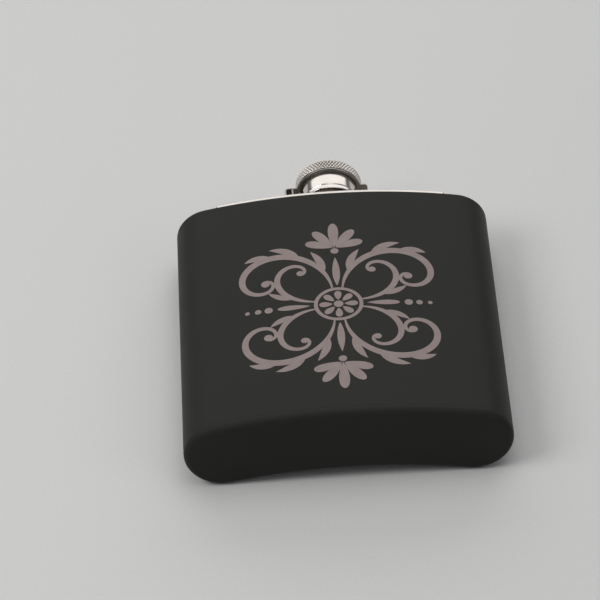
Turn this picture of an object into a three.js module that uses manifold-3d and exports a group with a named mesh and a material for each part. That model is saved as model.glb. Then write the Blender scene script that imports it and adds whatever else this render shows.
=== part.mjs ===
// Pocket hip flask lying on its back, in millimetres.
//
// +X runs across the width, +Y along the neck (towards the cap) and +Z through the
// thickness, with the convex front face up. The concave back rests on its two long
// ridges at z = 0. The origin is under the middle of the whole flask, cap included.
//
// The body is a kidney-shaped tube made of two pressed half shells, closed by a dished
// bottom plate and a top plate with a raised crown. The neck is welded into the crown.
// A captive arm, hinged beside the neck, ends in a ring round the waist of the cap: the
// cap unscrews up through the ring and then swings aside with the arm.

import * as THREE from 'three';
import { mergeVertices } from 'three/addons/utils/BufferGeometryUtils.js';
import Module from 'manifold-3d';

const wasm = await Module();
wasm.setup();

// ---- Driving dimensions ----

const GAP = 0.3; // between pieces that are welded, pressed or seated together

// Body
const WIDTH = 94;
const THICKNESS = 22; // between the front and back faces, along the face normal
const FRONT_RADIUS = 200; // curvature of the convex front face
const BODY_HEIGHT = 96.5; // bottom face to the shoulder where the crown starts
const WALL = 0.7;
const BOTTOM_ROUND = 2;
const SHOULDER_ROUND = 0.8;

// Crown of the top plate
const CROWN_HEIGHT = 2.1;
const CROWN_SHORTER = 3.7; // how much sooner than the body the crown ends on each side
const CROWN_BULGE = 0.25; // and how much flatter than a half circle its ends are
const CROWN_ROUND = 0.8;

// Neck
const THREAD_RADIUS = 6.5;
const THREAD_ROOT_RADIUS = 6;
const THREAD_PITCH = 2.1;
const NECK_BORE_RADIUS = 5.2;
const NECK_ABOVE_CROWN = 8.4;
const NECK_FLANGE_RADIUS = 6.8;
const NECK_THREADS = 3;

// Cap
const CAP_HEIGHT = 13;
const CAP_ABOVE_CROWN = 1.5;
const HEAD_RADIUS = 10.05;
const HEAD_HEIGHT = 3.7;
const WAIST_RADIUS = 8.9;
const LIP_RADIUS = 9.9;
const LIP_HEIGHT = 2.4;
const SLEEVE_WALL = 0.5;
const INSERT_BORE_RADIUS = 7.5;
const GASKET_RADIUS = 7.2;
const GASKET_THICKNESS = 0.9;
const DISC_THICKNESS = 1.6;

// Captive arm and its hinge
const RING_INNER_RADIUS = WAIST_RADIUS + 0.25;
const RING_OUTER_RADIUS = 10;
const HINGE_X = -12.1; // pin axis, from the neck axis
const HINGE_ABOVE_CROWN = 3;
const PIN_RADIUS = 0.5;
const PIN_LENGTH = 10;
const KNUCKLE_RADIUS = 1.3;
const ARM_WIDTH = 6;
const ARM_THICKNESS = 0.5; // ring, strap and thumb tab, pressed from one strip
const EAR_RADIUS = 1.25;
const EAR_THICKNESS = 1.1;
const BRACKET_LENGTH = 4;
const BRACKET_PLATE = 0.7;
const TAB_REACH = 11.8;
const TAB_WIDTH = 6;

// ---- Places worked out from them ----

const ROUND = THICKNESS / 2; // radius of the rounded sides
const MIDDLE_RADIUS = FRONT_RADIUS - ROUND;
const END_ANGLE = Math.asin((WIDTH / 2 - ROUND) / MIDDLE_RADIUS);
const CENTRE_Z = ROUND - MIDDLE_RADIUS * Math.cos(END_ANGLE);
const NECK_Z = CENTRE_Z + MIDDLE_RADIUS;
const SEAM_Z = ROUND;
const CROWN_Y = BODY_HEIGHT + CROWN_HEIGHT;
const NECK_TOP_Y = CROWN_Y + NECK_ABOVE_CROWN;
const CAP_Y = CROWN_Y + CAP_ABOVE_CROWN;
const CAP_TOP_Y = CAP_Y + CAP_HEIGHT;
const HEAD_Y = CAP_TOP_Y - HEAD_HEIGHT;
const RING_Y = HEAD_Y - GAP - ARM_THICKNESS;
const GASKET_Y = NECK_TOP_Y + GAP;
const HINGE_Y = CROWN_Y + HINGE_ABOVE_CROWN;
const CENTRE_Y = CAP_TOP_Y / 2;

const FACE_STEPS = 20; // straight steps along the front and the back face
const SIDE_STEPS = 8; // and round each side
const TURN_STEPS = 32; // round the neck and cap

// ---- Shape helpers ----

// The kidney outline as points in x and z, clockwise seen from the bottom end: inset
// moves it inwards all round, shorter ends it sooner on both sides, and bulge is how far
// its ends stand out, from 0 for flat to 1 for half circles.
function kidney(inset, shorter = 0, bulge = 1) {
  const angle = Math.asin((WIDTH / 2 - ROUND - shorter) / MIDDLE_RADIUS);
  const reach = ROUND - inset;
  const points = [];
  const addFace = (sign) => {
    for (let i = 0; i <= FACE_STEPS; i += 1) {
      const turn = sign * angle * ((2 * i) / FACE_STEPS - 1);
      const radius = MIDDLE_RADIUS + sign * reach;
      points.push([radius * Math.sin(turn), CENTRE_Z + radius * Math.cos(turn)]);
    }
  };
  const addSide = (sign) => {
    const [across, up] = [Math.sin(angle), Math.cos(angle)];
    for (let i = 1; i < SIDE_STEPS; i += 1) {
      const turn = Math.PI * (i / SIDE_STEPS);
      const out = sign * reach * Math.cos(turn);
      const along = bulge * reach * Math.sin(turn);
      const x = MIDDLE_RADIUS * across + out * across + along * up;
      points.push([sign * x, CENTRE_Z + MIDDLE_RADIUS * up + out * up - along * across]);
    }
  };
  addFace(1);
  addSide(1);
  addFace(-1);
  addSide(-1);
  return points;
}

// A closed body from kidney outlines: each stage is [inset, y, shorter, bulge], running up
// the outside and down the inside. A ring joins its last stage to its first; otherwise the
// first stage is a flat end facing down (-Y) and the last a flat end facing up (+Y).
function kidneyBody(stages, ring = false) {
  const loops = stages.map(([inset, y, ...ends]) => ({ y, points: kidney(inset, ...ends) }));
  const count = loops[0].points.length;
  const positions = [];
  for (const loop of loops) {
    for (const [x, z] of loop.points) positions.push(x, loop.y, z);
  }
  const triangles = [];
  const bands = ring ? loops.length : loops.length - 1;
  for (let band = 0; band < bands; band += 1) {
    const low = band * count;
    const high = ((band + 1) % loops.length) * count;
    for (let i = 0; i < count; i += 1) {
      const next = (i + 1) % count;
      triangles.push(low + i, high + next, high + i, low + i, low + next, high + next);
    }
  }
  if (!ring) {
    const end = (loop, base, flip) => {
      const outline = loop.points.map(([x, z]) => new THREE.Vector2(x, z));
      for (const [a, b, c] of THREE.ShapeUtils.triangulateShape(outline, [])) {
        triangles.push(base + a, base + (flip ? c : b), base + (flip ? b : c));
      }
    };
    end(loops[0], 0, false);
    end(loops[loops.length - 1], (loops.length - 1) * count, true);
  }
  const geometry = new THREE.BufferGeometry();
  geometry.setAttribute('position', new THREE.Float32BufferAttribute(positions, 3));
  geometry.setIndex(triangles);
  return geometry;
}

// A quarter round as stages, from [inset, y] straight up to the inset and y that it turns
// into; rise is the signed height of the round.
function quarterRound(inset, y, radius, rise, steps, ...ends) {
  const stages = [];
  for (let i = 0; i <= steps; i += 1) {
    const turn = (Math.PI / 2) * (i / steps);
    stages.push([inset + radius * (1 - Math.cos(turn)), y + rise * Math.sin(turn), ...ends]);
  }
  return stages;
}

// A turned piece on the neck axis, from [radius, y] points.
function turned(points, steps = TURN_STEPS) {
  const outline = points.map(([radius, y]) => new THREE.Vector2(radius, y));
  return new THREE.LatheGeometry(outline, steps).translate(0, 0, NECK_Z);
}

// A turned ring: a profile that closes on itself, in the order that faces outwards.
function turnedRing(points, steps = TURN_STEPS) {
  return turned([...points, points[0]], steps);
}

// A turned bar or tube along Z through the hinge pin.
function alongPin(radius, length, steps) {
  return new THREE.CylinderGeometry(radius, radius, length, steps)
    .rotateX(Math.PI / 2)
    .translate(HINGE_X, HINGE_Y, NECK_Z);
}

// A box between two corners.
function boxBetween(low, high) {
  const [width, depth, height] = high.map((value, axis) => value - low[axis]);
  const centre = high.map((value, axis) => (value + low[axis]) / 2);
  return new THREE.BoxGeometry(width, depth, height).translate(...centre);
}

function toSolid(geometry) {
  const bare = new THREE.BufferGeometry();
  bare.setAttribute('position', geometry.getAttribute('position').clone());
  if (geometry.index) bare.setIndex(geometry.index.clone());
  const merged = mergeVertices(bare, 1e-4);
  return new wasm.Manifold(
    new wasm.Mesh({
      numProp: 3,
      vertProperties: new Float32Array(merged.getAttribute('position').array),
      triVerts: new Uint32Array(merged.index.array),
    }),
  );
}

function toGeometry(solid) {
  const mesh = solid.getMesh();
  const geometry = new THREE.BufferGeometry();
  geometry.setAttribute('position', new THREE.BufferAttribute(mesh.vertProperties, 3));
  geometry.setIndex(new THREE.BufferAttribute(mesh.triVerts, 1));
  return geometry;
}

const join = (...geometries) => {
  const solids = geometries.map(toSolid);
  return toGeometry(solids.slice(1).reduce((whole, next) => whole.add(next), solids[0]));
};

const cut = (geometry, ...tools) =>
  toGeometry(tools.map(toSolid).reduce((whole, tool) => whole.subtract(tool), toSolid(geometry)));

// ---- Materials ----

const blackPaint = () =>
  new THREE.MeshStandardMaterial({ color: 0x2b2a29, roughness: 0.5, metalness: 0.1 });
const steel = () =>
  new THREE.MeshStandardMaterial({ color: 0xc9c3ba, roughness: 0.25, metalness: 1 });
const nylon = () =>
  new THREE.MeshStandardMaterial({ color: 0xd8d5cc, roughness: 0.6, metalness: 0 });
const silicone = () =>
  new THREE.MeshStandardMaterial({ color: 0xe6e2d8, roughness: 0.8, metalness: 0 });

const flask = new THREE.Group();
flask.position.y = -CENTRE_Y;

function place(name, geometry, material) {
  const mesh = new THREE.Mesh(geometry, material);
  mesh.name = name;
  flask.add(mesh);
}

// ---- Body ----

// The wall of both shells as one ring: a straight tube whose top edge is turned in a
// little, which is then parted along the seams at the sides.
function shellRing() {
  const bottom = BOTTOM_ROUND + WALL;
  const top = BODY_HEIGHT - SHOULDER_ROUND;
  return kidneyBody(
    [
      [0, bottom + GAP],
      ...quarterRound(0, top, SHOULDER_ROUND, SHOULDER_ROUND, 3),
      [SHOULDER_ROUND, BODY_HEIGHT - WALL],
      [WALL, top - WALL],
      [WALL, bottom + GAP],
    ],
    true,
  );
}

function shell(isFront) {
  const far = WIDTH;
  const seam = SEAM_Z + (isFront ? GAP / 2 : -GAP / 2);
  const away = isFront
    ? boxBetween([-far, -far, -far], [far, 2 * far, seam])
    : boxBetween([-far, -far, seam], [far, 2 * far, far]);
  return cut(shellRing(), away);
}

// A shallow dish that closes the bottom with a rounded edge.
function bottomPlate() {
  const rim = BOTTOM_ROUND + WALL;
  const outside = quarterRound(0, BOTTOM_ROUND, BOTTOM_ROUND, -BOTTOM_ROUND, 4);
  const inside = quarterRound(WALL, BOTTOM_ROUND, BOTTOM_ROUND - WALL, WALL - BOTTOM_ROUND, 3);
  return kidneyBody([...outside.reverse(), [0, rim], [WALL, rim], ...inside]);
}

// The top plate: a flange under the turned-in shell edges and a raised crown, pressed
// from one sheet and bored for the neck.
function topPlate() {
  const flange = BODY_HEIGHT - WALL - GAP;
  const skirt = flange - WALL - 0.6; // bottom of the short skirt under the flange
  const side = SHOULDER_ROUND + GAP;
  const crown = side + 0.1;
  const ends = [CROWN_SHORTER, CROWN_BULGE];
  const outer = [
    [WALL + GAP, skirt],
    [side, flange],
    [side + 0.05, BODY_HEIGHT - 0.2],
    [crown, BODY_HEIGHT, 0.5],
    [crown, BODY_HEIGHT, ...ends],
    ...quarterRound(crown, CROWN_Y - CROWN_ROUND, CROWN_ROUND, CROWN_ROUND, 3, ...ends),
  ];
  const inner = [
    [crown + CROWN_ROUND + 0.6, CROWN_Y - WALL, ...ends],
    [crown + WALL, CROWN_Y - CROWN_ROUND - WALL, ...ends],
    [crown + WALL, BODY_HEIGHT - WALL, ...ends],
    [crown + WALL, BODY_HEIGHT - WALL, 0.5],
    [side + WALL - 0.2, skirt],
  ];
  const plate = kidneyBody([...inner, ...outer]);
  const hole = turned([
    [0, 0],
    [THREAD_ROOT_RADIUS + GAP, 0],
    [THREAD_ROOT_RADIUS + GAP, CAP_TOP_Y],
    [0, CAP_TOP_Y],
  ]);
  return cut(plate, hole);
}

place('front_shell', shell(true), blackPaint());
place('back_shell', shell(false), blackPaint());
place('bottom_plate', bottomPlate(), blackPaint());
place('top_plate', topPlate(), steel());

// ---- Neck ----

function neckTube() {
  const flangeTop = CROWN_Y - WALL - GAP;
  const profile = [
    [NECK_BORE_RADIUS, flangeTop - WALL],
    [NECK_FLANGE_RADIUS, flangeTop - WALL],
    [NECK_FLANGE_RADIUS, flangeTop],
    [THREAD_ROOT_RADIUS, flangeTop],
  ];
  const firstThread = NECK_TOP_Y - NECK_THREADS * THREAD_PITCH;
  for (let i = 0; i < NECK_THREADS; i += 1) {
    const y = firstThread + i * THREAD_PITCH;
    profile.push(
      [THREAD_ROOT_RADIUS, y],
      [THREAD_RADIUS, y + THREAD_PITCH * 0.3],
      [THREAD_RADIUS, y + THREAD_PITCH * 0.5],
      [THREAD_ROOT_RADIUS, y + THREAD_PITCH * 0.8],
    );
  }
  profile.push([THREAD_ROOT_RADIUS, NECK_TOP_Y], [NECK_BORE_RADIUS, NECK_TOP_Y]);
  return turnedRing(profile);
}

place('neck_tube', neckTube(), steel());

// ---- Hinge and captive arm ----

function hingeBracket() {
  const earInner = ARM_WIDTH / 2 + GAP;
  const earOuter = earInner + EAR_THICKNESS;
  const low = CROWN_Y + GAP;
  const half = BRACKET_LENGTH / 2;
  const plate = boxBetween(
    [HINGE_X - half, low, NECK_Z - earOuter],
    [HINGE_X + half, low + BRACKET_PLATE, NECK_Z + earOuter],
  );
  const ear = (side) => {
    const outline = new THREE.Shape();
    outline.moveTo(-EAR_RADIUS, low - HINGE_Y);
    outline.lineTo(EAR_RADIUS, low - HINGE_Y);
    outline.absarc(0, 0, EAR_RADIUS, 0, Math.PI);
    outline.closePath();
    const z = side < 0 ? NECK_Z - earOuter : NECK_Z + earInner;
    return new THREE.ExtrudeGeometry(outline, {
      depth: EAR_THICKNESS,
      bevelEnabled: false,
      curveSegments: 10,
    }).translate(HINGE_X, HINGE_Y, z);
  };
  return cut(join(plate, ear(-1), ear(1)), alongPin(PIN_RADIUS + GAP, PIN_LENGTH * 2, 20));
}

// The ring round the waist, a strap down to the knuckle round the pin, and a thumb tab.
function captiveArm() {
  const low = RING_Y;
  const high = RING_Y + ARM_THICKNESS;
  const half = ARM_WIDTH / 2;
  const ring = turnedRing([
    [RING_INNER_RADIUS, low],
    [RING_OUTER_RADIUS, low],
    [RING_OUTER_RADIUS, high],
    [RING_INNER_RADIUS, high],
  ], 40);
  const middle = (RING_INNER_RADIUS + RING_OUTER_RADIUS) / 2;
  const shelf = boxBetween(
    [HINGE_X - KNUCKLE_RADIUS, low, NECK_Z - half],
    [-middle, high, NECK_Z + half],
  );
  const legs = [HINGE_X - KNUCKLE_RADIUS, HINGE_X + KNUCKLE_RADIUS - ARM_THICKNESS].map((x) =>
    boxBetween([x, HINGE_Y, NECK_Z - half], [x + ARM_THICKNESS, high, NECK_Z + half]));
  const thumbTab = boxBetween(
    [middle - 0.3, low, NECK_Z - TAB_WIDTH / 2],
    [TAB_REACH, high, NECK_Z + TAB_WIDTH / 2],
  );
  const opening = turned([
    [0, low - 1],
    [RING_INNER_RADIUS, low - 1],
    [RING_INNER_RADIUS, high + 1],
    [0, high + 1],
  ], 40);
  return cut(
    join(ring, shelf, ...legs, thumbTab, alongPin(KNUCKLE_RADIUS, ARM_WIDTH, 20)),
    opening,
    alongPin(PIN_RADIUS + GAP, PIN_LENGTH * 2, 20),
  );
}

place('hinge_bracket', hingeBracket(), steel());
place('hinge_pin', alongPin(PIN_RADIUS, PIN_LENGTH, 20), steel());
place('captive_arm', captiveArm(), steel());

// ---- Cap ----

const sleeveInner = WAIST_RADIUS - SLEEVE_WALL;
const insertOuter = sleeveInner - GAP;

// The waist: a plain sleeve that the ring of the arm slides along.
function capSleeve() {
  const lipSeat = WAIST_RADIUS - GAP / 2;
  return turnedRing([
    [sleeveInner, CAP_Y + GAP],
    [lipSeat - GAP, CAP_Y + GAP],
    [lipSeat - GAP, CAP_Y + LIP_HEIGHT],
    [WAIST_RADIUS, CAP_Y + LIP_HEIGHT],
    [WAIST_RADIUS, HEAD_Y - GAP],
    [sleeveInner, HEAD_Y - GAP],
  ]);
}

// The pressed-on lip that stops the cap leaving the arm's ring.
function capLipRing() {
  const inner = WAIST_RADIUS - GAP / 2;
  return turnedRing([
    [inner, CAP_Y],
    [LIP_RADIUS - 0.1, CAP_Y],
    [LIP_RADIUS, CAP_Y + 0.15],
    [LIP_RADIUS, CAP_Y + LIP_HEIGHT * 0.6],
    [WAIST_RADIUS + 0.05, CAP_Y + LIP_HEIGHT - GAP],
    [inner, CAP_Y + LIP_HEIGHT - GAP],
  ]);
}

function capHead() {
  const edge = 0.35;
  return turnedRing([
    [sleeveInner, HEAD_Y],
    [HEAD_RADIUS - edge, HEAD_Y],
    [HEAD_RADIUS, HEAD_Y + edge],
    [HEAD_RADIUS, CAP_TOP_Y - 2 * edge],
    [HEAD_RADIUS - edge, CAP_TOP_Y - edge],
    [sleeveInner, CAP_TOP_Y - GAP],
  ], 48);
}

// The threaded insert: a cup that screws onto the neck, with the gasket in its roof.
function capInsert() {
  const roof = GASKET_Y + GASKET_THICKNESS + GAP;
  const top = CAP_TOP_Y - DISC_THICKNESS - GAP;
  return turned([
    [0, roof],
    [INSERT_BORE_RADIUS, roof],
    [INSERT_BORE_RADIUS, CAP_Y + 2 * GAP],
    [insertOuter, CAP_Y + 2 * GAP],
    [insertOuter, top],
    [0, top],
  ]);
}

place('cap_sleeve', capSleeve(), steel());
place('cap_lip_ring', capLipRing(), steel());
place('cap_head', capHead(), steel());
place(
  'cap_top_disc',
  turned([
    [0, CAP_TOP_Y - DISC_THICKNESS],
    [insertOuter, CAP_TOP_Y - DISC_THICKNESS],
    [insertOuter, CAP_TOP_Y - GAP],
    [insertOuter - GAP, CAP_TOP_Y],
    [0, CAP_TOP_Y],
  ], 48),
  steel(),
);
place('cap_thread_insert', capInsert(), nylon());
place(
  'cap_gasket',
  turned([
    [0, GASKET_Y],
    [GASKET_RADIUS, GASKET_Y],
    [GASKET_RADIUS, GASKET_Y + GASKET_THICKNESS],
    [0, GASKET_Y + GASKET_THICKNESS],
  ]),
  silicone(),
);

export default flask;
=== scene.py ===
"""The looks of a pocket hip flask: a black powder-coated, kidney-shaped body with an engraved
ornament, a bare-steel crown and neck, and a knurled screw cap on a hinged captive arm.

Lengths are in metres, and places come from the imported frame. +X is across the flask, +Y along
its neck and +Z out of its convex front face."""

import math

import bmesh
import bpy
import numpy as np
from mathutils import Matrix, Vector


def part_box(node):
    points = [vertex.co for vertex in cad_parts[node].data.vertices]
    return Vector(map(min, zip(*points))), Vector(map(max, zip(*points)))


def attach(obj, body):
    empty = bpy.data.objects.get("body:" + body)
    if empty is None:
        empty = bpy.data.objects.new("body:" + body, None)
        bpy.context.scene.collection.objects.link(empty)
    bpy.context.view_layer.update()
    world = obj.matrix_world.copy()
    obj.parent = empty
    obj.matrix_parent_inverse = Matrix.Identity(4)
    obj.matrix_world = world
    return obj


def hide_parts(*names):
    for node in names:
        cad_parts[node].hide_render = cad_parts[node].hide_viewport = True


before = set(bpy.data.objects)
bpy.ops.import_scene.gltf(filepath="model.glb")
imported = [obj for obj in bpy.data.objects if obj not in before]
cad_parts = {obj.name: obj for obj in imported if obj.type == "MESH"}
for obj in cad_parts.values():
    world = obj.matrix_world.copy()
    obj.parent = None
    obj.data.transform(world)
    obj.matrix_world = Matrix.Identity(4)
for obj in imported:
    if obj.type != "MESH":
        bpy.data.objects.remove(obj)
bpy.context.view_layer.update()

MM = 0.001
TAU = 2 * math.pi

# ---- Places taken from the frame ----

front_low, front_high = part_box("front_shell")
_, back_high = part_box("back_shell")
base_low, base_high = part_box("bottom_plate")
_, crown_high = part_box("top_plate")
neck_low, neck_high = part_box("neck_tube")
bracket_low, bracket_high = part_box("hinge_bracket")
pin_low, pin_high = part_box("hinge_pin")
arm_low, arm_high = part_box("captive_arm")
sleeve_low, sleeve_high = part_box("cap_sleeve")
lip_low, lip_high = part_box("cap_lip_ring")
head_low, head_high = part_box("cap_head")
disc_low, disc_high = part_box("cap_top_disc")
insert_low, insert_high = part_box("cap_thread_insert")
gasket_low, gasket_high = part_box("cap_gasket")

SIDE_ROUND = (front_low.z + back_high.z) / 2  # radius of the rounded sides, and the seam's height
END_X = front_high.x - SIDE_ROUND
RISE = front_high.z - 2 * SIDE_ROUND
MIDDLE_RADIUS = (END_X**2 + RISE**2) / (2 * RISE)
CENTRE_Z = SIDE_ROUND + RISE - MIDDLE_RADIUS
AXIS_Z = (head_low.z + head_high.z) / 2
SHOULDER_Y = front_high.y
CROWN_Y = crown_high.y
HEAD_RADIUS = (head_high.x - head_low.x) / 2
WAIST_RADIUS = (sleeve_high.x - sleeve_low.x) / 2
HINGE = Vector(((pin_low.x + pin_high.x) / 2, (pin_low.y + pin_high.y) / 2, AXIS_Z))

WALL = 0.7 * MM
SHOULDER_ROUND = 0.8 * MM
BASE_ROUND = 2 * MM
CROWN_ENDS = (3.7 * MM, 0.25)  # how much sooner the crown ends on each side, and its bulge
CROWN_INSET = 1.15 * MM
THREAD_PITCH = 2.1 * MM
THREAD_START_Y = CROWN_Y + 1.0 * MM

# ---- Mesh helpers ----

CREASE = 32  # degrees from which an edge is drawn sharp
RELIEF_CREASE = 50  # the same on knurls and threads
BEVEL_FROM = 40  # degrees from which an edge of a pressed piece is softened


def finish_mesh(name, vertices, faces, smooth_angle=CREASE):
    """A smooth-shaded object with sharp creases and its faces turned outwards."""
    mesh = bpy.data.meshes.new(name)
    mesh.from_pydata([tuple(v) for v in vertices], [], faces)
    shape = bmesh.new()
    shape.from_mesh(mesh)
    bmesh.ops.recalc_face_normals(shape, faces=shape.faces)
    shape.to_mesh(mesh)
    shape.free()
    mesh.shade_smooth()
    mesh.set_sharp_from_angle(angle=math.radians(smooth_angle))
    piece = bpy.data.objects.new(name, mesh)
    bpy.context.scene.collection.objects.link(piece)
    return piece


def grid_piece(name, loops, closed, smooth_angle=CREASE):
    """A closed body from loops of points, shaped (loops, points, 3). Each loop joins up; the loops
    close into a ring, or else the first and the last are filled."""
    rows, columns = loops.shape[:2]
    faces = []
    for row in range(rows if closed else rows - 1):
        above = (row + 1) % rows
        for column in range(columns):
            side = (column + 1) % columns
            faces.append((row * columns + column, above * columns + column,
                          above * columns + side, row * columns + side))
    if not closed:
        faces.append(tuple(range(columns)))
        faces.append(tuple(range((rows - 1) * columns, rows * columns)))
    return finish_mesh(name, loops.reshape(-1, 3), faces, smooth_angle)


def quarter(inset, y, radius, rise, steps, *ends):
    """Stages of a quarter round that leaves a wall at [inset, y] and turns inwards."""
    turns = np.linspace(0, math.pi / 2, steps + 1)
    return [(inset + radius * (1 - math.cos(t)), y + rise * math.sin(t), *ends) for t in turns]


def supported(profile, margin=0.08 * MM):
    """A profile of [radius or inset, y, ...] points, with more points near the ends of its long
    stretches, so that they shade flat right up to their rounded edges."""
    points = [tuple(profile[0])]
    for start, end in zip(profile, profile[1:]):
        long = math.hypot(end[0] - start[0], end[1] - start[1])
        shares = (margin / long, 1 - margin / long) if long > 6 * margin else ()
        points += [tuple(a + (b - a) * share for a, b in zip(start, end)) for share in shares]
        points.append(tuple(end))
    return points


# ---- The kidney outline ----

FACE_STEPS = 72
SIDE_STEPS = 24


def outline_rays(half, shorter=0.0, bulge=1.0):
    """Points on the kidney's middle line, with the way out to the skin: the front half, the back
    half or both, as arrays of x and z. Shorter ends it sooner on both sides, and bulge is how far
    its ends stand out, from 0 for flat to 1 for half circles."""
    angle = math.asin((END_X - shorter) / MIDDLE_RADIUS)
    middle, out = [], []

    def add(at, side_turn=0.0, face=1):
        up = np.array([math.sin(at), math.cos(at)])
        along = np.array([math.cos(at), -math.sin(at)]) * math.copysign(1, at)
        middle.append(MIDDLE_RADIUS * up + np.array([0, CENTRE_Z]))
        out.append(face * math.cos(side_turn) * up + bulge * math.sin(side_turn) * along)

    quarter_turn = np.linspace(0, math.pi / 2, SIDE_STEPS // 2 + 1)
    if half in ("front", "both"):
        for turn in quarter_turn[:0:-1]:
            add(-angle, turn)
        for turn in np.linspace(-angle, angle, FACE_STEPS, endpoint=False):
            add(turn)
        for turn in quarter_turn:
            add(angle, turn)
    if half in ("back", "both"):
        for turn in quarter_turn[::-1][1 if half == "both" else 0:-1]:
            add(angle, turn, -1)
        for turn in np.linspace(angle, -angle, FACE_STEPS, endpoint=False):
            add(turn, 0.0, -1)
        for turn in quarter_turn[:-1] if half == "both" else quarter_turn:
            add(-angle, turn, -1)
    return np.array(middle), np.array(out)


def kidney_loop(inset, y, *ends):
    middle, out = outline_rays("both", *ends)
    flat = middle + out * (SIDE_ROUND - inset)
    return np.column_stack([flat[:, 0], np.full(len(flat), y), flat[:, 1]])


def circle_loop(radius, y, *ends):
    """A circle round the neck axis, with one point for each point of the outline."""
    outline = kidney_loop(0, y, *ends) - np.array([0, y, AXIS_Z])
    turn = np.arctan2(outline[:, 0], outline[:, 2])
    return np.column_stack([radius * np.sin(turn), np.full(len(turn), y),
                            AXIS_Z + radius * np.cos(turn)])


def kidney_piece(name, stages, closed):
    return grid_piece(name, np.array([kidney_loop(*stage) for stage in stages]), closed)


# ---- Turned pieces ----


def turned(name, profile, closed=True, steps=128, smooth_angle=CREASE, relief=None):
    """A body turned round the neck axis from [radius, y] points. relief(radius, y, turn) changes
    the radius, such as for a knurl or a thread."""
    turn = np.linspace(0, TAU, steps, endpoint=False)
    loops = []
    stations = supported([*profile, profile[0]])[:-1] if closed else supported(profile)
    for radius, y in stations:
        reach = np.full(steps, radius)
        if relief:
            reach = relief(reach, y, turn)
        loops.append(np.column_stack([reach * np.sin(turn), np.full(steps, y),
                                      AXIS_Z + reach * np.cos(turn)]))
    return grid_piece(name, np.array(loops), closed, smooth_angle)


def spread(first, last, count):
    """Profile points along a straight stretch, its ends included."""
    share = np.linspace(0, 1, count)[:, None]
    return list(np.array(first) * (1 - share) + np.array(last) * share)


def prism(name, outline, low, high, bevel):
    """A flat plate from an outline in x and y, between two heights, with softened edges."""
    count = len(outline)
    vertices = [(x, y, z) for z in (low, high) for x, y in outline]
    faces = [tuple(range(count)), tuple(range(count, 2 * count))]
    for i in range(count):
        after = (i + 1) % count
        faces.append((i, after, count + after, count + i))
    piece = finish_mesh(name, vertices, faces)
    shape = bmesh.new()
    shape.from_mesh(piece.data)
    sharp = [e for e in shape.edges if e.calc_face_angle(0) > math.radians(BEVEL_FROM)]
    bmesh.ops.bevel(shape, geom=sharp, offset=bevel, segments=3, affect="EDGES", clamp_overlap=True)
    shape.to_mesh(piece.data)
    shape.free()
    piece.data.shade_smooth()
    piece.data.set_sharp_from_angle(angle=math.radians(CREASE))
    return piece


def merge(name, pieces):
    """Several pieces as one object."""
    shape = bmesh.new()
    for piece in pieces:
        shape.from_mesh(piece.data)
        bpy.data.objects.remove(piece)
    mesh = bpy.data.meshes.new(name)
    shape.to_mesh(mesh)
    shape.free()
    mesh.shade_smooth()
    mesh.set_sharp_from_angle(angle=math.radians(CREASE))
    whole = bpy.data.objects.new(name, mesh)
    bpy.context.scene.collection.objects.link(whole)
    return whole


# ---- Materials ----


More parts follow.
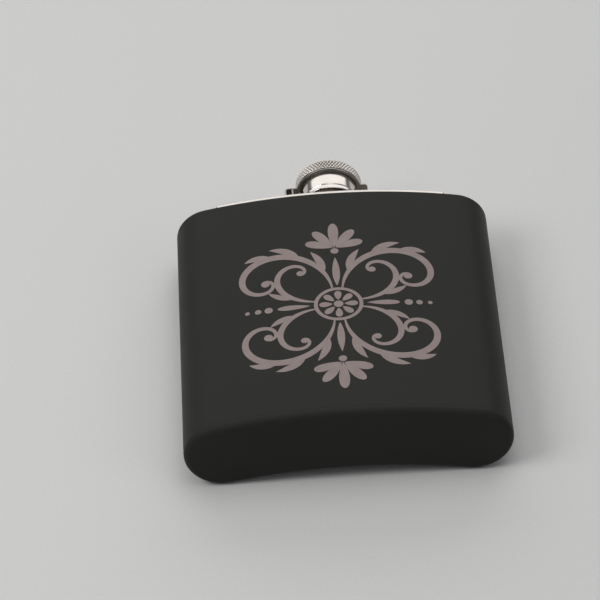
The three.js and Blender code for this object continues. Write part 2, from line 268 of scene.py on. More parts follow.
class Finish:
    """A Principled material with a few shorthand texture nodes."""

    def __init__(self, name, color, metallic, roughness, **sockets):
        self.material = bpy.data.materials.new(name)
        self.material.use_nodes = True
        self.tree = self.material.node_tree
        self.shader = self.tree.nodes["Principled BSDF"]
        self.color = (*color, 1)
        self.set(self.shader, {"Base Color": self.color, "Metallic": metallic,
                               "Roughness": roughness})
        self.set(self.shader, {key.replace("_", " "): value for key, value in sockets.items()})
        self.place = self.tree.nodes.new("ShaderNodeTexCoord").outputs["Object"]

    def set(self, node, values):
        for key, value in values.items():
            node.inputs[key].default_value = value

    def node(self, kind, values=(), links=(), **settings):
        made = self.tree.nodes.new(kind)
        for key, value in settings.items():
            setattr(made, key, value)
        self.set(made, dict(values))
        for key, source in dict(links).items():
            self.tree.links.new(source, made.inputs[key])
        return made

    def stretched(self, scale):
        """The object's coordinates, scaled by a number of repeats per metre on each axis."""
        return self.node("ShaderNodeMapping", {"Scale": scale}, {"Vector": self.place}).outputs[0]

    def noise(self, vector, detail=3.0, rough=0.55):
        made = self.node("ShaderNodeTexNoise", {"Scale": 1.0, "Detail": detail,
                                                "Roughness": rough}, {"Vector": vector})
        return made.outputs["Fac"]

    def ranged(self, value, low, high, from_low=0.3, from_high=0.7):
        """Maps a value to a range. Most of a noise lies between 0.3 and 0.7."""
        made = self.node("ShaderNodeMapRange", {"From Min": from_low, "From Max": from_high,
                                                "To Min": low, "To Max": high},
                         {"Value": value})
        return made.outputs["Result"]

    def roughen(self, value, low, high):
        self.tree.links.new(self.ranged(value, low, high), self.shader.inputs["Roughness"])

    def tint(self, value, other):
        """Blends the base colour towards another one where value is high."""
        blend = self.node("ShaderNodeMix", {}, {}, data_type="RGBA")
        color_sockets = [s for s in blend.inputs if s.type == "RGBA"]
        color_sockets[0].default_value = self.color
        color_sockets[1].default_value = (*other, 1)
        self.tree.links.new(self.ranged(value, 0, 1), blend.inputs[0])
        result = [s for s in blend.outputs if s.type == "RGBA"][0]
        self.tree.links.new(result, self.shader.inputs["Base Color"])

    def darken(self, value, from_low, from_high, dark=0.16, margin=0.04 * MM):
        """Painted shade: scales the base colour down to dark where value is low, but not past
        from_low.
        """
        deeper = self.node("ShaderNodeMath", {1: from_low - margin}, {0: value},
                           operation="LESS_THAN")
        graded = self.ranged(value, dark, 1, from_low, from_high)
        shade = self.node("ShaderNodeMath", {}, {0: graded, 1: deeper.outputs[0]},
                          operation="MAXIMUM").outputs[0]
        color = self.shader.inputs["Base Color"]
        scaled = self.node("ShaderNodeVectorMath", {}, {0: color.links[0].from_socket},
                           operation="SCALE")
        self.tree.links.new(shade, scaled.inputs["Scale"])
        self.tree.links.new(scaled.outputs[0], color)

    def bumps(self, *layers):
        """Bump layers, each (height, depth in metres), one on top of the other."""
        normal = None
        for height, depth in layers:
            bump = self.node("ShaderNodeBump", {"Strength": 1.0, "Distance": depth},
                             {"Height": height})
            if normal:
                self.tree.links.new(normal, bump.inputs["Normal"])
            normal = bump.outputs["Normal"]
        self.tree.links.new(normal, self.shader.inputs["Normal"])


def powder_coat():
    """Matte black powder coat: a fine pebbled skin with faint cloudiness."""
    coat = Finish("powder_coat_black", (0.0245, 0.024, 0.0225), 0.0, 0.5,
                  Specular_IOR_Level=0.08)
    grain = coat.noise(coat.stretched((3600, 3600, 3600)), detail=2)
    pebble = coat.noise(coat.stretched((1300, 1300, 1300)), detail=2)
    cloud = coat.noise(coat.stretched((60, 60, 60)), detail=3)
    coat.tint(cloud, (0.0272, 0.0266, 0.0250))
    coat.roughen(cloud, 0.46, 0.54)
    coat.bumps((pebble, 0.006 * MM), (grain, 0.004 * MM))
    return coat.material


def engraved_steel():
    """Laser-marked lines through the coat: fine raster rows of dull, pinkish steel."""
    mark = Finish("engraved_mark", (0.270, 0.212, 0.200), 0.0, 0.62, Specular_IOR_Level=0.3)
    rows = mark.noise(mark.stretched((260, 5200, 260)), detail=2)
    blotch = mark.noise(mark.stretched((420, 420, 420)), detail=3)
    mark.tint(blotch, (0.300, 0.240, 0.228))
    mark.roughen(rows, 0.5, 0.72)
    mark.bumps((rows, 0.004 * MM))
    return mark.material


def turned_steel(name, color, roughness, lines, depth, groove_shade_radii=None):
    """Turned and polished steel: fine tool lines round the neck axis, and faint smudges. The last
    argument is the radius at the bottom of a knurl and at its top, and painted shade darkens the
    colour of what lies deep, in the knurl's grooves."""
    steel = Finish(name, color, 1.0, roughness)
    parts = steel.node("ShaderNodeSeparateXYZ", {}, {"Vector": steel.place})
    sideways = steel.node("ShaderNodeMath", {1: AXIS_Z}, {0: parts.outputs["Z"]},
                          operation="SUBTRACT")
    flat = steel.node("ShaderNodeCombineXYZ", {}, {"X": parts.outputs["X"],
                                                   "Z": sideways.outputs[0]})
    radius = steel.node("ShaderNodeVectorMath", {}, {0: flat.outputs[0]}, operation="LENGTH")
    across = steel.node("ShaderNodeCombineXYZ", {}, {"X": radius.outputs["Value"],
                                                     "Y": parts.outputs["Y"]})
    scaled = steel.node("ShaderNodeMapping", {"Scale": (lines, lines, 1)},
                        {"Vector": across.outputs[0]})
    rings = steel.noise(scaled.outputs[0], detail=4, rough=0.7)
    smudge = steel.noise(steel.stretched((240, 240, 240)), detail=4)
    steel.tint(smudge, tuple(0.93 * c for c in color))
    # Painted shade: the colour darkens towards the bottom of the knurl's grooves.
    if groove_shade_radii:
        steel.darken(radius.outputs["Value"], *groove_shade_radii)
    steel.roughen(smudge, 0.75 * roughness, 1.35 * roughness)
    steel.bumps((rings, depth))
    return steel.material


def brushed_steel(name, color, roughness, scale, depth):
    """Flat-pressed steel with a straight grain."""
    steel = Finish(name, color, 1.0, roughness)
    grain = steel.noise(steel.stretched(scale), detail=3, rough=0.65)
    smudge = steel.noise(steel.stretched((180, 180, 180)), detail=4)
    steel.tint(smudge, tuple(0.92 * c for c in color))
    steel.roughen(grain, 0.75 * roughness, 1.3 * roughness)
    steel.bumps((grain, depth))
    return steel.material


def moulded(name, color, roughness, subsurface):
    """Moulded plastic or rubber with a faint skin texture."""
    plastic = Finish(name, color, 0.0, roughness, Subsurface_Weight=subsurface)
    plastic.set(plastic.shader, {"Subsurface Radius": (0.6 * MM, 0.5 * MM, 0.4 * MM)})
    skin = plastic.noise(plastic.stretched((1500, 1500, 1500)), detail=2)
    plastic.tint(skin, tuple(0.94 * c for c in color))
    plastic.roughen(skin, roughness - 0.06, roughness + 0.06)
    plastic.bumps((skin, 0.004 * MM))
    return plastic.material


KNURL_DEPTH = 0.32 * MM
STEEL = (0.66, 0.615, 0.565)
BLACK_COAT = powder_coat()
ENGRAVED = engraved_steel()
CROWN_STEEL = brushed_steel("crown_steel", STEEL, 0.2, (90, 2600, 2600), 0.0012 * MM)
NECK_STEEL = turned_steel("neck_steel", STEEL, 0.24, 9000, 0.001 * MM)
CAP_STEEL = turned_steel("cap_steel", (0.70, 0.655, 0.605), 0.13, 7000, 0.0006 * MM)
# The knurl's steel carries painted shade: darker where its radius is small, deep in its grooves.
KNURL_STEEL = turned_steel("knurl_steel", (0.86, 0.81, 0.74), 0.3, 7000, 0.0006 * MM,
                           (HEAD_RADIUS - KNURL_DEPTH, HEAD_RADIUS - 0.04 * MM))
ARM_STEEL = brushed_steel("arm_steel", (0.34, 0.32, 0.29), 0.34, (2600, 300, 2600), 0.001 * MM)
PIN_STEEL = turned_steel("pin_steel", (0.42, 0.40, 0.37), 0.3, 9000, 0.001 * MM)
NYLON = moulded("insert_nylon", (0.66, 0.64, 0.58), 0.45, 0.15)
SILICONE = moulded("gasket_silicone", (0.72, 0.70, 0.64), 0.55, 0.3)


def hand_over(piece, material, body, slot, *nodes):
    """Paints a piece and places it on its body, in place of the CAD nodes named."""
    piece.data.materials.clear()
    piece.data.materials.append(material)
    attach(piece, body)
    if nodes:
        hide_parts(*nodes)


# ---- Body ----

JOINT = 0.012 * MM  # half the width of a welded joint's fine line
JOINT_BEVEL = 0.025 * MM
BASE_JOINT_Y = (base_high.y + front_low.y) / 2


def shell(name, half):
    """One pressed half of the body's wall, from its bottom joint to the turned-in top edge."""
    bottom = BASE_JOINT_Y + JOINT
    top = SHOULDER_Y - SHOULDER_ROUND
    profile = [(JOINT_BEVEL, bottom), (0, bottom + JOINT_BEVEL)]
    profile += [(0, y) for y in np.linspace(bottom + 2 * JOINT_BEVEL, top - 0.2 * MM, 6)]
    profile += quarter(0, top, SHOULDER_ROUND, SHOULDER_ROUND, 8)
    profile += [(SHOULDER_ROUND, SHOULDER_Y - WALL), (WALL, top - WALL), (WALL, bottom)]
    middle, out = outline_rays(half)
    count = len(middle)
    seam = np.zeros(count)
    seam[0] = seam[-1] = JOINT_BEVEL
    lift = np.zeros(count)
    lift[0] = lift[-1] = JOINT if half == "front" else -JOINT
    loops = []
    for i in range(count):
        loop = []
        for inset, y in profile:
            step_in = inset + (seam[i] if inset < WALL / 2 else 0)
            x, z = middle[i] + out[i] * (SIDE_ROUND - step_in)
            loop.append((x, y, z + lift[i]))
        loops.append(loop)
    return grid_piece(name, np.array(loops), closed=False)


def bottom_dish():
    rim = BASE_JOINT_Y - JOINT
    low = base_low.y
    outside = quarter(0, low + BASE_ROUND, BASE_ROUND, -BASE_ROUND, 12)
    inside = quarter(WALL, low + BASE_ROUND, BASE_ROUND - WALL, WALL - BASE_ROUND, 8)
    stages = [(5 * MM, low), *outside[::-1], (0, rim - JOINT_BEVEL), (JOINT_BEVEL, rim),
              (WALL, rim), *inside]
    return kidney_piece("bottom_dish", stages, closed=False)


LEDGE_Y = SHOULDER_Y - 0.1 * MM  # coated ledge of the top plate, beside the crown


def top_rim():
    """The coated rim of the top plate, between the shells' edge and the crown. At both sides it
    widens into a flat ledge, up to the crown's blunter ends."""
    edge = SHOULDER_ROUND + 0.05 * MM
    crown_foot = CROWN_INSET - 0.05 * MM
    stages = [(edge, LEDGE_Y - 1 * MM), (edge, LEDGE_Y - 0.1 * MM), (edge + 0.08 * MM, LEDGE_Y),
              (crown_foot, LEDGE_Y, 0.5 * MM), (CROWN_INSET + 0.1 * MM, LEDGE_Y, *CROWN_ENDS),
              (CROWN_INSET + 0.1 * MM, LEDGE_Y - 1 * MM, *CROWN_ENDS)]
    return kidney_piece("top_rim", stages, closed=True)


def crown():
    """The bare crown: a raised saddle with rounded edges and a hole for the neck."""
    edge = 0.6 * MM
    hole = 6.2 * MM
    wall_top = CROWN_Y - edge
    stages = [(CROWN_INSET, LEDGE_Y - 0.3 * MM, *CROWN_ENDS),
              (CROWN_INSET, LEDGE_Y + 0.3 * MM, *CROWN_ENDS),
              (CROWN_INSET, wall_top - 0.1 * MM, *CROWN_ENDS),
              *quarter(CROWN_INSET, wall_top, edge, edge, 8, *CROWN_ENDS),
              (CROWN_INSET + edge + 0.1 * MM, CROWN_Y, *CROWN_ENDS)]
    under = [(CROWN_INSET + WALL + 0.9 * MM, CROWN_Y - WALL, *CROWN_ENDS),
             (CROWN_INSET + WALL, wall_top - WALL, *CROWN_ENDS),
             (CROWN_INSET + WALL, LEDGE_Y - 0.3 * MM, *CROWN_ENDS)]
    loops = [kidney_loop(*stage) for stage in stages]
    loops += [circle_loop(hole, y, *CROWN_ENDS) for y in (CROWN_Y, CROWN_Y - WALL)]
    loops += [kidney_loop(*stage) for stage in under]
    return grid_piece("crown", np.array(loops), closed=True)


hand_over(shell("body_front", "front"), BLACK_COAT, "flask", "body_black", "front_shell")
hand_over(shell("body_back", "back"), BLACK_COAT, "flask", "body_black", "back_shell")
hand_over(bottom_dish(), BLACK_COAT, "flask", "body_black", "bottom_plate")
hand_over(top_rim(), BLACK_COAT, "flask", "body_black")
hand_over(crown(), CROWN_STEEL, "flask", "top_steel", "top_plate")

# ---- Neck ----


def ridge(share):
    """Height of a thread's ridge, from 0 to 1, at a share of its pitch."""
    away = np.abs((share % 1.0) - 0.5)
    return np.clip((0.36 - away) / 0.2, 0, 1)


def neck():
    flange = (neck_high.x - neck_low.x) / 2
    crest = 6.5 * MM
    root = 5.95 * MM
    bore = 5.2 * MM
    first = THREAD_START_Y
    last = neck_high.y - 0.6 * MM
    run_out = 0.8 * MM
    seat = CROWN_Y - 1.05 * MM

    def thread(radius, y, turn):
        if not first < y < last:
            return radius
        fade = min(1, (y - first) / run_out, (last - y) / run_out)
        return radius + (crest - root) * fade * ridge((y - first) / THREAD_PITCH - turn / TAU)

    profile = [(bore, neck_low.y), (flange, neck_low.y), (flange, seat), (root, seat),
               (root, CROWN_Y - 0.05 * MM)]
    profile += [(root + 0.75 * MM, CROWN_Y), (root + 0.55 * MM, CROWN_Y + 0.12 * MM),
                (root + 0.2 * MM, CROWN_Y + 0.26 * MM), (root, CROWN_Y + 0.6 * MM)]
    profile += spread((root, first), (root, last), 56)
    profile += [(root, neck_high.y - 0.2 * MM), (root - 0.1 * MM, neck_high.y - 0.05 * MM),
                (root - 0.25 * MM, neck_high.y), (bore + 0.2 * MM, neck_high.y),
                (bore + 0.05 * MM, neck_high.y - 0.06 * MM), (bore, neck_high.y - 0.2 * MM)]
    return turned("neck", profile, steps=144, smooth_angle=RELIEF_CREASE, relief=thread)


hand_over(neck(), NECK_STEEL, "flask", "neck_steel", "neck_tube")

# ---- Hinge and captive arm ----

ARM_HALF = 3.0 * MM  # half the width of the strap and the thumb tab
ARM_THICK = 0.5 * MM


def arc(centre, radius, first, last, steps):
    """Points on a circle in the plane of the face, between two angles in degrees from +X."""
    angles = np.radians(np.linspace(first, last, steps + 1))
    return [(centre[0] + radius * math.cos(a), centre[1] + radius * math.sin(a)) for a in angles]


def bracket():
    """A U-shaped bracket: a foot on the crown and two rounded ears that hold the pin."""
    reach = 1.25 * MM
    low = CROWN_Y + 0.02 * MM
    foot_top = bracket_low.y + 0.7 * MM
    ear_in = ARM_HALF + 0.3 * MM
    ear = [(HINGE.x - reach, low), (HINGE.x + reach, low), *arc(HINGE, reach, 0, 180, 20)]
    foot = [(bracket_low.x, low), (bracket_high.x, low), (bracket_high.x, foot_top),
            (bracket_low.x, foot_top)]
    half = (bracket_high.z - bracket_low.z) / 2
    plates = [prism("ear", ear, AXIS_Z - half, AXIS_Z - ear_in, 0.14 * MM),
              prism("ear", ear, AXIS_Z + ear_in, AXIS_Z + half, 0.14 * MM),
              prism("foot", foot, AXIS_Z - half, AXIS_Z + half, 0.12 * MM)]
    return merge("bracket", plates)


def pin():
    """The hinge pin, with a domed head peened over at each end."""
    radius = (pin_high.x - pin_low.x) / 2
    end = (pin_high.z - pin_low.z) / 2
    seat = (bracket_high.z - bracket_low.z) / 2 + 0.03 * MM
    head = 0.95 * MM
    dome = [(head * math.cos(t), seat + 0.12 * MM + (end - seat - 0.12 * MM) * math.sin(t))
            for t in np.linspace(0, 0.47 * math.pi, 8)]
    half = [(radius, 0), (radius, seat), (head - 0.05 * MM, seat), *dome]
    profile = [(r, -z) for r, z in reversed(half)] + half[1:]
    turn = np.linspace(0, TAU, 40, endpoint=False)
    loops = [np.column_stack([HINGE.x + r * np.cos(turn), HINGE.y + r * np.sin(turn),
                              np.full(len(turn), AXIS_Z + z)]) for r, z in profile]
    return grid_piece("pin", np.array(loops), closed=False)


def arm():
    """The arm: a ring round the cap, a strap folded round the pin and back up, and a thumb tab
    on the far side."""
    high = arm_high.y
    low = high - ARM_THICK
    outer = 10.0 * MM
    inner = WAIST_RADIUS + 0.25 * MM
    soft = 0.1 * MM
    band = turned("ring", [(inner + soft, low), (outer - soft, low), (outer, low + soft),
                           (outer, high - soft), (outer - soft, high), (inner + soft, high),
                           (inner, high - soft), (inner, low + soft)], steps=160)
    curl_out = HINGE.x - arm_low.x
    curl_in = curl_out - ARM_THICK
    bend = 1.1 * MM
    corner = (arm_low.x + bend, high - bend)
    overlap = -(inner + 0.35 * MM)
    leg_top = low - 0.01 * MM
    outline = [(overlap, high), *arc(corner, bend, 90, 180, 8), *arc(HINGE, curl_out, 180, 360, 28),
               (HINGE.x + curl_out, leg_top), (HINGE.x + curl_in, leg_top),
               *arc(HINGE, curl_in, 360, 180, 28), *arc(corner, bend - ARM_THICK, 180, 90, 8),
               (overlap, low)]
    strap = prism("strap", outline, AXIS_Z - ARM_HALF, AXIS_Z + ARM_HALF, 0.1 * MM)
    round_off = 1.2 * MM
    tab = []
    for side in (-1, 1):
        middle = (arm_high.x - round_off, AXIS_Z + side * (ARM_HALF - round_off))
        turns = (-90, 0) if side < 0 else (0, 90)
        tab += arc(middle, round_off, *turns, 8)
    tab = [(inner + 0.4 * MM, AXIS_Z - ARM_HALF), *tab, (inner + 0.4 * MM, AXIS_Z + ARM_HALF)]
    thumb_tab = prism("tab", tab, -high, -low, 0.1 * MM)
    thumb_tab.data.transform(Matrix(((1, 0, 0, 0), (0, 0, -1, 0), (0, 1, 0, 0), (0, 0, 0, 1))))
    return merge("arm", [band, strap, thumb_tab])


hand_over(bracket(), ARM_STEEL, "flask", "hinge_steel", "hinge_bracket")
hand_over(pin(), PIN_STEEL, "flask", "hinge_steel", "hinge_pin")
hand_over(arm(), ARM_STEEL, "arm", "arm_steel", "captive_arm")

# ---- Cap ----

KNURL_COUNT = 64
KNURL_PITCH = 1.6 * MM


def groove(share):
    """Depth of a V groove, from 0 to 1, at a share of the knurl's pitch."""
    return np.clip(4.4 * np.abs((share % 1.0) - 0.5) - 1.2, 0, 1)


def cap_head():
    radius = HEAD_RADIUS
    inner = (disc_high.x - disc_low.x) / 2 + 0.06 * MM
    low, high = head_low.y, head_high.y
    edge = 0.12 * MM
    first = low + edge
    last = high - edge

    def knurl(reach, y, turn):
        if not first < y < last:
            return reach
        fade = min(1, (y - first) / (0.12 * MM), (last - y) / (0.12 * MM))
        around = turn / TAU * KNURL_COUNT
        along = (y - first) / KNURL_PITCH
        cut = np.maximum(groove(around + along), groove(around - along))
        return reach - KNURL_DEPTH * fade * cut

    profile = [(inner, low), (radius - 0.12 * MM, low), (radius - 0.04 * MM, low + 0.04 * MM),
               (radius, first)]
    profile += spread((radius, first + 0.02 * MM), (radius, last - 0.02 * MM), 40)
    profile += [(radius, last), (radius - 0.04 * MM, high - 0.04 * MM),
                (radius - 0.12 * MM, high), (inner + 0.08 * MM, high), (inner, high - 0.08 * MM)]
    return turned("cap_head_knurled", profile, steps=KNURL_COUNT * 8, smooth_angle=RELIEF_CREASE,
                  relief=knurl)


def cap_disc():
    """The slightly domed disc in the top of the head."""
    radius = (disc_high.x - disc_low.x) / 2
    top = disc_high.y
    edge = top - 0.3 * MM
    profile = [(radius, disc_low.y), (radius, edge - 0.1 * MM), (radius - 0.1 * MM, edge)]
    profile += [(radius * share, edge + 0.3 * MM * (1 - share**2)) for share in
                np.linspace(0.97, 0.03, 14)]
    return turned("cap_disc", profile, closed=False)


def cap_sleeve():
    radius = WAIST_RADIUS
    wall = 0.5 * MM
    low, high = sleeve_low.y, head_low.y - 0.02 * MM
    neck_in = lip_high.y + 0.75 * MM
    return turned("cap_waist", [
        (radius - wall, low), (radius - 0.45 * MM, low), (radius - 0.45 * MM, lip_high.y),
        (radius - 0.34 * MM, lip_high.y + 0.3 * MM), (radius - 0.3 * MM, neck_in),
        (radius - 0.06 * MM, neck_in + 0.25 * MM), (radius, neck_in + 0.4 * MM),
        (radius, high - 0.3 * MM), (radius - 0.1 * MM, high), (radius - wall, high)])


def cap_lip():
    """The pressed-on lip: a bead that swells out below a thin joint."""
    outer = (lip_high.x - lip_low.x) / 2
    inner = WAIST_RADIUS - 0.4 * MM
    low, high = lip_low.y, lip_high.y
    tall = high - low
    return turned("cap_lip", [
        (inner, low), (outer - 0.3 * MM, low), (outer - 0.1 * MM, low + 0.06 * MM),
        (outer, low + 0.22 * MM), (outer, low + 0.6 * tall), (outer - 0.06 * MM, low + 0.72 * tall),
        (outer - 0.2 * MM, low + 0.83 * tall), (outer - 0.5 * MM, high - 0.24 * MM),
        (outer - 0.95 * MM, high - 0.2 * MM), (inner, high - 0.2 * MM)])


def cap_insert():
    """The threaded insert, with its thread clear of the neck's."""
    outer = (insert_high.x - insert_low.x) / 2
    bore = 7.45 * MM
    first = insert_low.y + 0.3 * MM
    last = gasket_low.y - 0.5 * MM
    depth = 0.5 * MM
    run_out = 0.7 * MM
    roof = gasket_high.y + 0.1 * MM

    def thread(radius, y, turn):
        if not first < y < last:
            return radius
        fade = min(1, (y - first) / run_out, (last - y) / run_out)
        share = (y - THREAD_START_Y) / THREAD_PITCH - turn / TAU + 0.5
        return radius - depth * fade * ridge(share)

    profile = [(0.3 * MM, roof), (bore, roof), (bore, last)]
    profile += spread((bore, last - 0.05 * MM), (bore, first + 0.05 * MM), 42)
    profile += [(bore + 0.3 * MM, insert_low.y), (outer - 0.1 * MM, insert_low.y),
                (outer, insert_low.y + 0.1 * MM), (outer, insert_high.y),
                (0.3 * MM, insert_high.y)]
    return turned("cap_insert", profile, closed=False, relief=thread)


def cap_seal():
    radius = (gasket_high.x - gasket_low.x) / 2
    low, high = gasket_low.y, gasket_high.y
    soft = 0.2 * MM
    profile = [(0.3 * MM, low), (4.6 * MM, low), (4.9 * MM, low + 0.12 * MM),
               (6.2 * MM, low + 0.12 * MM), (6.5 * MM, low), (radius - soft, low),
               (radius, low + soft), (radius, high - soft), (radius - soft, high),
               (0.3 * MM, high)]
    return turned("cap_seal", profile, closed=False)


hand_over(cap_head(), KNURL_STEEL, "cap", "cap_steel", "cap_head")
hand_over(cap_disc(), CAP_STEEL, "cap", "cap_steel", "cap_top_disc")
hand_over(cap_sleeve(), CAP_STEEL, "cap", "cap_steel", "cap_sleeve")
hand_over(cap_lip(), CAP_STEEL, "cap", "cap_steel", "cap_lip_ring")
hand_over(cap_insert(), NYLON, "cap", "insert_plastic", "cap_thread_insert")
hand_over(cap_seal(), SILICONE, "cap_seal", "gasket_silicone", "cap_gasket")

# ---- Engraved ornament ----

ART_Y = base_low.y + 46 * MM  # the ornament's middle
FACE_RADIUS = MIDDLE_RADIUS + SIDE_ROUND
MARK_PROUD = 0.012 * MM
MARK_STEP = 0.0015 * MM  # marks lie at levels this far apart, so that none coincide
MARK_LEVELS = 11
MARK_DEPTH = 0.05 * MM


def face_point(x, y, out):
    """A point on the front face, moved out of it by a distance."""
    turn = math.asin(x / FACE_RADIUS)
    reach = FACE_RADIUS + out
    return (reach * math.sin(turn), y, CENTRE_Z + reach * math.cos(turn))


def stroke(line, widths, proud):
    """A thin closed strip that follows a line on the face, with a width at each point."""
    along = np.gradient(line, axis=0)
    along /= np.linalg.norm(along, axis=1)[:, None]
    side = np.column_stack([-along[:, 1], along[:, 0]]) * widths[:, None] / 2
    return np.array([[face_point(*left, proud), face_point(*right, proud),
                      face_point(*right, proud - MARK_DEPTH), face_point(*left, proud - MARK_DEPTH)]
                     for left, right in zip(line + side, line - side)])


def walk(start, headings, steps):
    """The points passed from a start, by steps in the headings given in degrees."""
    turn = np.radians(headings)
    x = start[0] + np.concatenate([[0], np.cumsum(steps * np.cos(turn))])
    y = start[1] + np.concatenate([[0], np.cumsum(steps * np.sin(turn))])
    return np.column_stack([x, y])


def dot(centre, radius, steps=24):
    """A round mark, as a strip across it."""
    across = np.sin(np.linspace(-0.494, 0.494, steps) * math.pi)
    line = np.column_stack([centre[0] + radius * across, np.full(steps, centre[1])])
    return line, 2 * radius * np.sqrt(1 - across**2)


def ring(radius, width, steps=72):
    turn = np.linspace(0, TAU, steps + 1)
    line = np.column_stack([radius * np.cos(turn), radius * np.sin(turn)])
    return line, np.full(steps + 1, width)


def leaf(start, heading, length, thick, bend=0.0, blunt=0.5, steps=20):
    """A leaf that starts in a point and bends evenly. A blunt of 0.5 rounds its far end, and 1
    makes that a point too."""
    share = np.sin(np.linspace(0, math.pi / 2, steps + 1))
    middle = (share[:-1] + share[1:]) / 2
    line = walk(start, heading + bend * middle, length * np.diff(share))
    body = (1 - share) ** blunt * share**0.9
    return line, np.maximum(thick * body / body.max(), 0.03)


def volute(start, heading, length, first_radius, last_radius, thick, eye, steps=64):
    """A scroll whose radius of curvature shrinks evenly up to its round eye; a negative radius
    curls clockwise. Returns its marks, and its line with the heading at each point."""
    begin, end, peak = 0.5, 0.75, 0.4
    middle = (np.arange(steps) + 0.5) / steps
    step = length / steps
    curl = np.degrees(step / (first_radius + (last_radius - first_radius) * middle))
    headings = heading + np.concatenate([[0], np.cumsum(curl)])
    line = walk(start, (headings[:-1] + headings[1:]) / 2, step)
    share = np.linspace(0, 1, steps + 1)
    rise = np.where(share < peak, share / peak, (1 - share) / (1 - peak))
    edge = np.where(share < peak, begin, end)
    widths = edge + (thick - edge) * np.sin(rise * math.pi / 2)
    inward = math.radians(headings[-1] + math.copysign(90, last_radius))
    shift = eye - end / 2
    centre = line[-1] + shift * np.array([math.cos(inward), math.sin(inward)])
    return [(line, widths), dot(centre, eye)], (line, headings)


def sprout(stem, share, away, length, thick, bend):
    """A pointed leaf that leaves a volute's line at a share of its length."""
    line, headings = stem
    at = round(share * (len(line) - 1))
    return leaf(line[at], headings[at] + away, length, thick, bend, blunt=1.0)


def quarter_of_ornament():
    """The marks of the upper right quarter, which is mirrored both ways."""
    great, stem = volute((1.5, 7.0), 84, 59, -21, -0.95, 2.3, 1.3)
    great += [sprout(stem, 0.13, 26, 10.5, 2.3, -38), sprout(stem, 0.29, 30, 10.5, 2.5, -55),
              sprout(stem, 0.43, 30, 8.5, 2.3, -55)]
    small, stem = volute((6.6, 1.6), 6, 32, 15, 0.9, 1.8, 1.1)
    small += [sprout(stem, 0.2, -26, 8.5, 2.0, 38)]
    palmette = [leaf((0.45 * i, 24.8), 90 - 31 * i, 11 - 1.5 * i, 3.1, -9 * i) for i in (1, 2)]
    return great + small + palmette


def ornament():
    """A symmetric ornament of volutes, leaves and palmettes round a medallion. Places are in
    millimetres from its middle, and each mark is a line with its widths."""
    marks = [ring(6.6, 1.1), dot((0, 0), 1.4)]
    for turn in range(0, 360, 45):
        start = (1.7 * math.cos(math.radians(turn)), 1.7 * math.sin(math.radians(turn)))
        marks.append(leaf(start, turn, 3.9, 2.1))
    for hand in (1, -1):
        up = 90 * hand
        marks += [leaf((0, 8.0 * hand), up, 12.5, 2.2, blunt=1.0), dot((0, 23.4 * hand), 1.2),
                  leaf((0, 24.8 * hand), up, 11, 3.1)]
        marks.append(leaf((8.2 * hand, 0), 90 - up, 9.5, 2.0))
        marks += [dot(((20.3 + 3.1 * i) * hand, 0), 1.2 - 0.25 * i) for i in range(3)]
    for mirror in ((1, 1), (-1, 1), (1, -1), (-1, -1)):
        marks += [(line * mirror, widths) for line, widths in quarter_of_ornament()]
    return marks


def engraving():
    vertices, faces = [], []
    for number, (line, widths) in enumerate(ornament()):
        proud = MARK_PROUD + MARK_STEP * (number % MARK_LEVELS)
        loops = stroke(line * MM + np.array([0, ART_Y]), widths * MM, proud)
        rows, columns = loops.shape[:2]
        base = len(vertices)
        vertices += [tuple(p) for p in loops.reshape(-1, 3)]
        for row in range(rows - 1):
            for column in range(columns):
                after = (column + 1) % columns
                low, high = base + row * columns, base + (row + 1) * columns
                faces.append((low + column, high + column, high + after, low + after))
        faces.append(tuple(range(base, base + columns)))
        faces.append(tuple(range(base + (rows - 1) * columns, base + rows * columns)))
    return finish_mesh("engraved_ornament", vertices, faces)


hand_over(engraving(), ENGRAVED, "flask", "body_black")

# ---- Studio ----


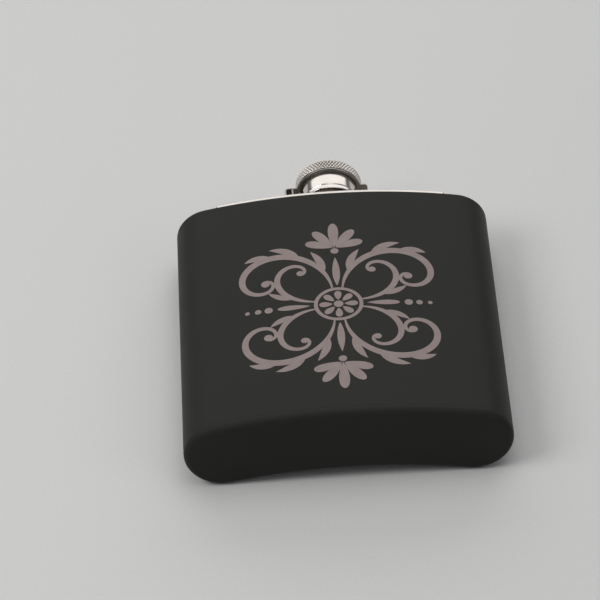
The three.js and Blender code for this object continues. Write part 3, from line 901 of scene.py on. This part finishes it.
def studio_floor():
    side = 3.0
    floor = finish_mesh("floor", [(-side, -side, 0), (side, -side, 0), (side, side, 0),
                                  (-side, side, 0)], [(0, 1, 2, 3)])
    paper = Finish("paper_floor", (0.72, 0.715, 0.705), 0.0, 0.85, Specular_IOR_Level=0.2)
    fibre = paper.noise(paper.stretched((900, 900, 900)), detail=3)
    paper.tint(fibre, (0.70, 0.695, 0.685))
    floor.data.materials.append(paper.material)


def softbox(name, place, target, size, power, color=(1, 1, 1)):
    lamp = bpy.data.lights.new(name, "AREA")
    lamp.shape = "RECTANGLE"
    lamp.size, lamp.size_y = size
    lamp.energy = power
    lamp.color = color
    light = bpy.data.objects.new(name, lamp)
    light.location = place
    light.rotation_euler = (Vector(target) - Vector(place)).to_track_quat("-Z", "Y").to_euler()
    bpy.context.scene.collection.objects.link(light)


def camera():
    """A long lens from the bottom end of the flask, well above it."""
    place = Vector((-15.41, -772.96, 704.02)) * MM
    azimuth, elevation, roll = (math.radians(a) for a in (0.325, 41.57, -3.392))
    ahead = Vector((math.sin(azimuth) * math.cos(elevation),
                    math.cos(azimuth) * math.cos(elevation), -math.sin(elevation)))
    level = Vector((math.cos(azimuth), -math.sin(azimuth), 0))
    upright = level.cross(ahead)
    right = level * math.cos(roll) + upright * math.sin(roll)
    above = upright * math.cos(roll) - level * math.sin(roll)
    eye = bpy.data.cameras.new("camera")
    eye.lens = 211.9
    eye.clip_start = 0.01
    holder = bpy.data.objects.new("camera", eye)
    axes = Matrix((right, above, -ahead)).transposed()
    holder.matrix_world = Matrix.Translation(place) @ axes.to_4x4()
    bpy.context.scene.collection.objects.link(holder)
    bpy.context.scene.camera = holder


def studio():
    studio_floor()
    softbox("top", (0.1, 0.1, 1.0), (0, 0, 0), (0.9, 0.9), 3.1)
    softbox("back", (0, 0.95, 0.5), (0, 0, 0.02), (1.6, 0.85), 5.0)
    softbox("key", (-0.6, -0.2, 0.7), (0, 0, 0), (0.45, 0.45), 3.0)
    softbox("fill", (0.7, -0.45, 0.5), (0, 0, 0), (0.6, 0.4), 0.6)
    world = bpy.data.worlds.new("studio")
    world.use_nodes = True
    world.node_tree.nodes["Background"].inputs["Color"].default_value = (0.95, 0.97, 1.0, 1)
    world.node_tree.nodes["Background"].inputs["Strength"].default_value = 0.17
    bpy.context.scene.world = world
    bpy.context.scene.view_settings.view_transform = "Standard"


camera()
studio()
